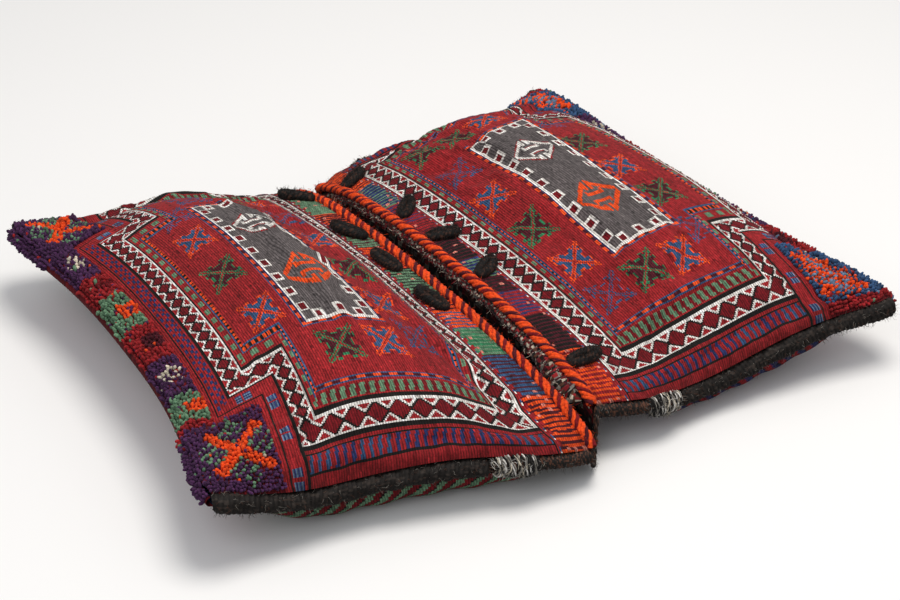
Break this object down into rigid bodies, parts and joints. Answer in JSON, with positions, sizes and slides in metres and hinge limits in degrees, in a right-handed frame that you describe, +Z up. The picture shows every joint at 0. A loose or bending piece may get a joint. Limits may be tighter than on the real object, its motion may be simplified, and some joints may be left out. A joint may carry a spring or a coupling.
{
  "type": "flat-woven double saddle bag",
  "caption": "Flat-woven double saddle bag, two stuffed pouches joined by a short bridge, mouths laced shut with goat-hair loops.",
  "frame": {"origin": "on the ground under the middle of the whole bag", "axes": "+X along the woven strip from the left pouch to the right one, +Y along the mouths, +Z up"},
  "size_m": [0.8292, 0.684, 0.1753],
  "materials": {
    "woven_wool": "matte",
    "goat_hair": "matte",
    "braid_wool": "matte",
    "grey_wool": "matte",
    "raw_wool": "matte"
  },
  "bodies": {
    "root": {"back_mouth_lashing": "goat_hair", "front_mouth_lashing": "goat_hair", "left_back_corner_knot": "grey_wool", "left_back_side_cord": "goat_hair", "left_closure_loop_1": "goat_hair", "left_closure_loop_2": "goat_hair", "left_closure_loop_3": "goat_hair", "left_closure_loop_4": "goat_hair", "left_filling": "raw_wool", "left_front_corner_knot": "grey_wool", "left_front_side_cord": "goat_hair", "left_rim_braid": "braid_wool", "right_back_corner_knot": "grey_wool", "right_back_side_cord": "goat_hair", "right_closure_loop_1": "goat_hair", "right_closure_loop_2": "goat_hair", "right_closure_loop_3": "goat_hair", "right_closure_loop_4": "goat_hair", "right_closure_loop_5": "goat_hair", "right_filling": "raw_wool", "right_front_corner_knot": "grey_wool", "right_front_side_cord": "goat_hair", "right_rim_braid": "braid_wool", "woven_strip": "woven_wool"}
  },
  "joints": []
}
